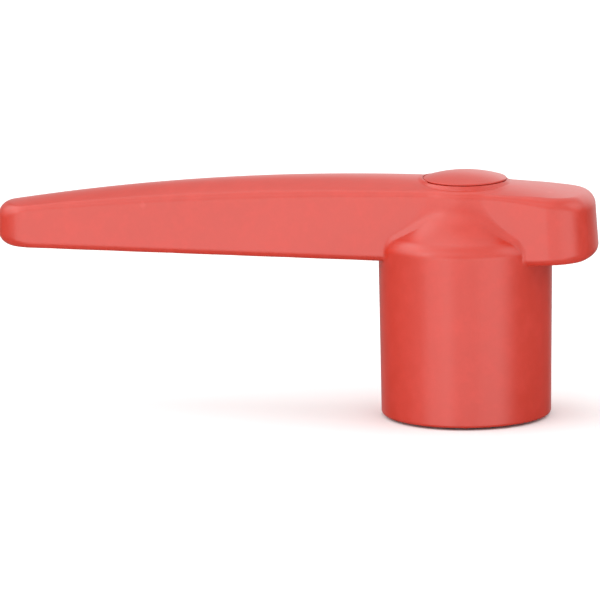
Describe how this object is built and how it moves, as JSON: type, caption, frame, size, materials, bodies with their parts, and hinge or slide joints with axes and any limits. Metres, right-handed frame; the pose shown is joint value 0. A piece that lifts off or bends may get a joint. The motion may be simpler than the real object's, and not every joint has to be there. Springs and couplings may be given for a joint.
{
  "type": "battery switch lever",
  "caption": "Red moulded quarter-turn battery switch lever: tapered arm, short tail and hollow round hub over a sealed mounting neck, with a square drive spindle and a domed screw cap.",
  "frame": {"origin": "on the turning axis, in the plane of the panel, at the end face of the spindle's tang", "axes": "+Z along the turning axis, away from the panel; the arm points along -X with the switch off, the tail along +X"},
  "size_m": [0.1104, 0.0314, 0.0444],
  "materials": {
    "red_moulding": "satin moulded",
    "black_nylon": "glass-filled, matt",
    "acetal": "smooth",
    "seal_rubber": "matt",
    "stainless_steel": "turned",
    "brass": "drawn and sawn",
    "bronze": "sintered"
  },
  "bodies": {
    "neck": {"mounting_neck": "black_nylon", "panel_gasket": "seal_rubber", "bearing_bush": "bronze", "skirt_o_ring": "seal_rubber", "threaded_insert_1": "brass", "threaded_insert_2": "brass", "threaded_insert_3": "brass"},
    "lever": {"lever_handle": "red_moulding", "drive_insert": "brass", "drive_spindle": "stainless_steel", "spindle_o_ring": "seal_rubber", "upper_thrust_washer": "acetal", "lower_thrust_washer": "acetal", "flat_washer": "stainless_steel", "spring_washer": "stainless_steel", "clamp_screw": "stainless_steel"},
    "cap": {"screw_cap": "red_moulding"}
  },
  "joints": [
    {"name": "lever_turn", "type": "hinge", "parent": "neck", "child": "lever", "pos_m": [0, 0, 0], "axis": [0, 0, -1], "range_deg": [0, 90]},
    {"name": "cap_lift", "type": "slide", "parent": "lever", "child": "cap", "axis": [0, 0, 1], "range_m": [0, 0.008]}
  ]
}
